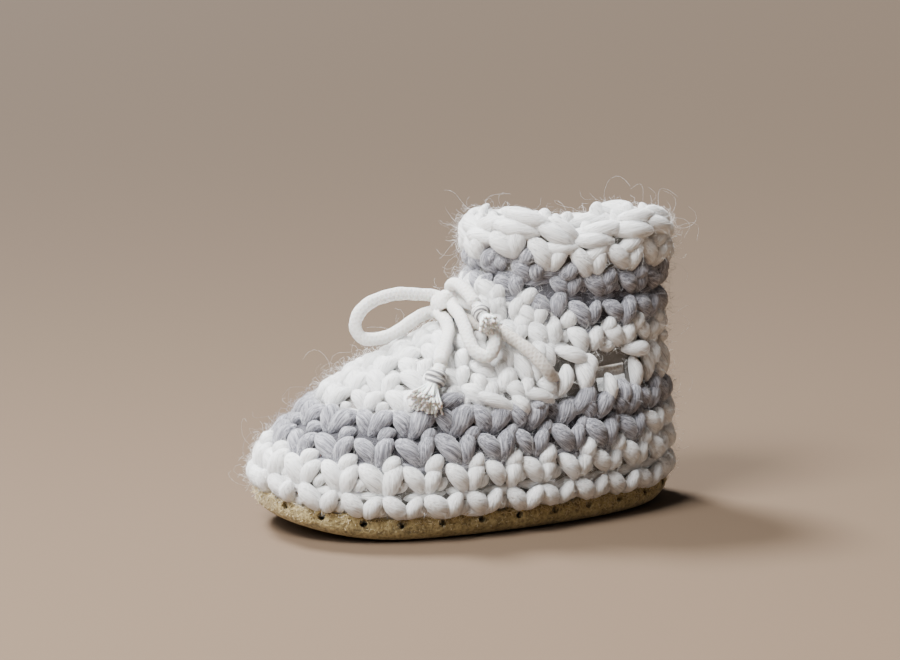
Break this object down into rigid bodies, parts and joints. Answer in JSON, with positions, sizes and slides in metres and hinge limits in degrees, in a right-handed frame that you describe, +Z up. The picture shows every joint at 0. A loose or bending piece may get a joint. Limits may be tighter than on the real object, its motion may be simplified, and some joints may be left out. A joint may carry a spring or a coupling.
{
  "type": "baby slipper",
  "caption": "Soft ankle-high baby slipper: hollow crocheted wool upper on a turned-up suede sole, with a footbed and a lace tied in a bow at the ankle.",
  "frame": {"origin": "on the floor, at the middle of the box round the slipper without its cord", "axes": "+X towards the toe, +Y towards the wearer's left, +Z up"},
  "size_m": [0.1113, 0.0616, 0.076],
  "materials": {
    "tan_suede": "napped suede, punched round its turned-up margin",
    "cream_felt": "soft pressed felt",
    "white_wool": "thick loosely spun wool crocheted in rows, white with heathered grey bands",
    "white_cotton": "smooth round knitted cotton cord"
  },
  "bodies": {
    "root": {"sole": "tan_suede", "insole": "cream_felt", "upper": "white_wool", "lace_run": "white_cotton", "bow_knot": "white_cotton", "bow_loop_far": "white_cotton", "bow_loop_near": "white_cotton", "lace_end_far": "white_cotton", "lace_end_near": "white_cotton", "tip_knot_far": "white_cotton", "tip_knot_near": "white_cotton"}
  },
  "joints": []
}
